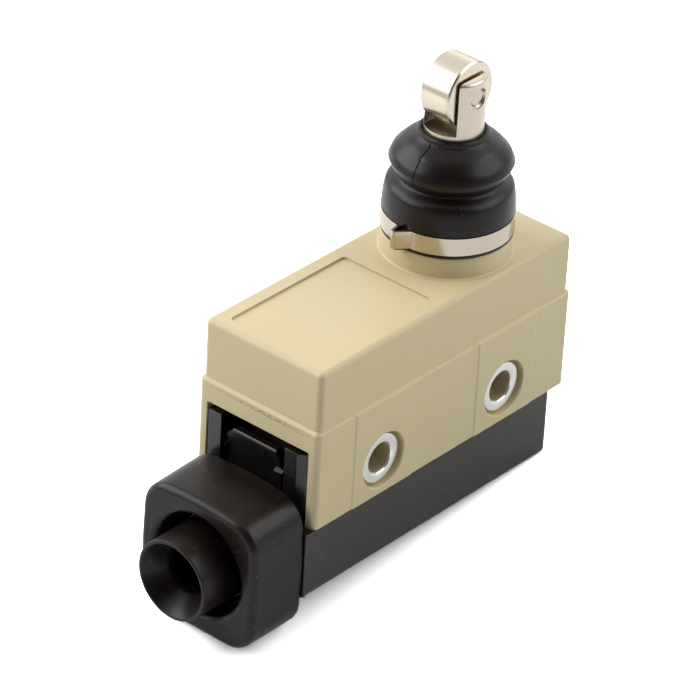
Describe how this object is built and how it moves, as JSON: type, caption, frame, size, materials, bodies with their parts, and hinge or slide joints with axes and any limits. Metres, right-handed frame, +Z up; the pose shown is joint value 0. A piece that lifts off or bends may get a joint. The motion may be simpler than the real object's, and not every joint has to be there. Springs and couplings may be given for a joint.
{
  "type": "enclosed switch",
  "caption": "Enclosed snap-action switch in a moulded case with a sealed roller plunger, a clip-on terminal cover and a rubber cable seal.",
  "frame": {"origin": "midway between the two mounting holes, on their common plane and at the middle of the case's width", "axes": "+Z up along the plunger, +X towards the plunger end, -X towards the cable seal, Y along the mounting holes"},
  "size_m": [0.069, 0.0216, 0.0687],
  "materials": {
    "case_plastic": "moulded, fine satin",
    "cover_plastic": "moulded, fine satin",
    "black_rubber": "matt",
    "stainless": "turned, fine",
    "eyelet_steel": "bright plated",
    "spring_steel": "drawn wire",
    "brass": "satin",
    "contact_silver": "bright",
    "phenolic": "moulded",
    "button_plastic": "moulded, smooth"
  },
  "bodies": {
    "case": {"case": "case_plastic", "front_eyelet": "eyelet_steel", "rear_eyelet": "eyelet_steel", "plunger_guide": "brass", "boot": "black_rubber", "boot_clamp": "stainless", "return_spring": "spring_steel", "switch_base": "phenolic", "switch_lid": "phenolic", "nc_contact": "contact_silver", "no_contact": "contact_silver", "com_terminal": "brass", "no_terminal": "brass", "nc_terminal": "brass", "com_screw": "eyelet_steel", "no_screw": "eyelet_steel", "nc_screw": "eyelet_steel", "com_washer": "eyelet_steel", "no_washer": "eyelet_steel", "nc_washer": "eyelet_steel"},
    "plunger": {"plunger": "stainless", "roller_pin": "stainless", "spring_seat": "spring_steel", "retaining_ring": "spring_steel", "overtravel_spring": "spring_steel", "pusher_retainer": "spring_steel"},
    "roller": {"roller": "stainless"},
    "pusher": {"pusher": "brass", "switch_button": "button_plastic"},
    "blade": {"snap_blade": "brass", "moving_contact": "contact_silver"},
    "cover": {"terminal_cover": "cover_plastic", "cable_seal": "black_rubber"}
  },
  "joints": [
    {"name": "plunger_slide", "type": "slide", "parent": "case", "child": "plunger", "axis": [0, 0, -1], "range_m": [0, 0.004], "stiffness_N_per_m": 600, "springref_m": -0.005, "deforming": ["boot", "return_spring", "overtravel_spring"]},
    {"name": "roller_spin", "type": "hinge", "parent": "plunger", "child": "roller", "pos_m": [0.0112, 0, 0.0433], "axis": [0, 1, 0], "continuous": true},
    {"name": "pusher_slide", "type": "slide", "parent": "case", "child": "pusher", "axis": [0, 0, -1], "range_m": [0, 0.00031]},
    {"name": "blade_tilt", "type": "hinge", "parent": "case", "child": "blade", "pos_m": [0.0176, 0, 0.0083], "axis": [0, -1, 0], "range_deg": [0, 2.77]},
    {"name": "cover_pull", "type": "slide", "parent": "case", "child": "cover", "axis": [0, 0, -1], "range_m": [0, 0.012]}
  ],
  "couplings": [
    {"joint": "pusher_slide", "follows": "plunger_slide", "ratio": 0.0775},
    {"joint": "blade_tilt", "follows": "plunger_slide", "rad_per_m": 12.1}
  ]
}
